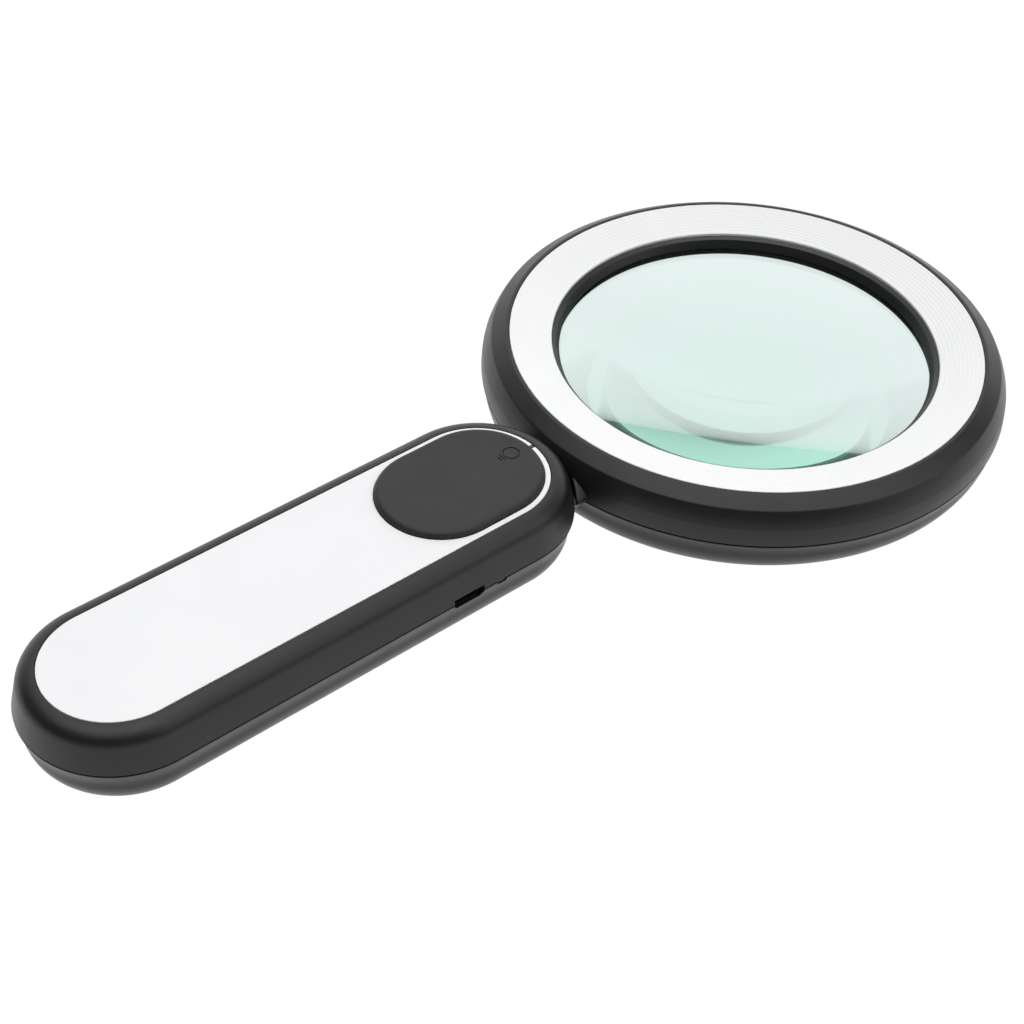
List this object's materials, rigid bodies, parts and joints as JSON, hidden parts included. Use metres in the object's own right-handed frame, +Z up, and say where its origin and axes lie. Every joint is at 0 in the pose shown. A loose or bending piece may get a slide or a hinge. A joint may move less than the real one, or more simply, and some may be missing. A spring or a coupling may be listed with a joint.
{
  "type": "low vision magnifier",
  "caption": "Hand magnifier with a large round lens, a white ring-light diffuser, and a round-ended handle with a white faceplate, a raised oval key and a charging port.",
  "frame": {"origin": "middle of the outline seen from above, on the plane that the magnifier rests on", "axes": "+X from the handle to the head along the length, +Y across, +Z up out of the lit face with the key and the diffuser ring"},
  "size_m": [0.245, 0.1198, 0.0213],
  "materials": {
    "shell_black": "satin moulded black",
    "plate_white": "smooth satin white",
    "key_grey": "soft matt dark grey",
    "silicone": "translucent white silicone",
    "board_parts": "black moulded",
    "plunger_cream": "cream moulded",
    "light_pipe": "clear moulded",
    "led_yellow": "phosphor yellow",
    "board_green": "solder-masked laminate",
    "steel": "plated steel",
    "port_metal": "dark plated steel",
    "window_smoke": "smoked clear",
    "cell_wrap": "shrink-wrapped",
    "lead_cover": "insulated wire",
    "diffuser_white": "opal white with fine grooves",
    "bezel_black": "satin black",
    "lens_glass": "polished, faintly green",
    "board_white": "white solder mask"
  },
  "bodies": {
    "magnifier": {"handle_top_shell": "shell_black", "handle_bottom_shell": "shell_black", "handle_faceplate": "plate_white", "handle_screws": "steel", "key_return_pad": "silicone", "switch_body": "board_parts", "indicator_light_pipe": "light_pipe", "indicator_led": "led_yellow", "control_board": "board_green", "board_components": "board_parts", "board_screws": "steel", "usb_shell": "port_metal", "usb_tongue": "board_parts", "charge_window": "window_smoke", "charge_led": "led_yellow", "battery_cell": "cell_wrap", "battery_tabs": "steel", "battery_cradle": "board_parts", "battery_leads": "lead_cover", "neck_bracket": "steel", "bracket_screws": "steel", "led_leads": "lead_cover", "head_top_shell": "shell_black", "head_bottom_shell": "shell_black", "head_screws": "steel", "diffuser_ring": "diffuser_white", "lens_bezel": "bezel_black", "lens": "lens_glass", "lens_gasket": "silicone", "led_board": "board_white", "leds": "led_yellow", "led_board_screws": "steel"},
    "key": {"power_key": "key_grey", "switch_plunger": "plunger_cream"}
  },
  "joints": [
    {"name": "key_press", "type": "slide", "parent": "magnifier", "child": "key", "axis": [0, 0, -1], "range_m": [0, 0.0006], "stiffness_N_per_m": 2500, "deforming": ["key_return_pad"]}
  ]
}
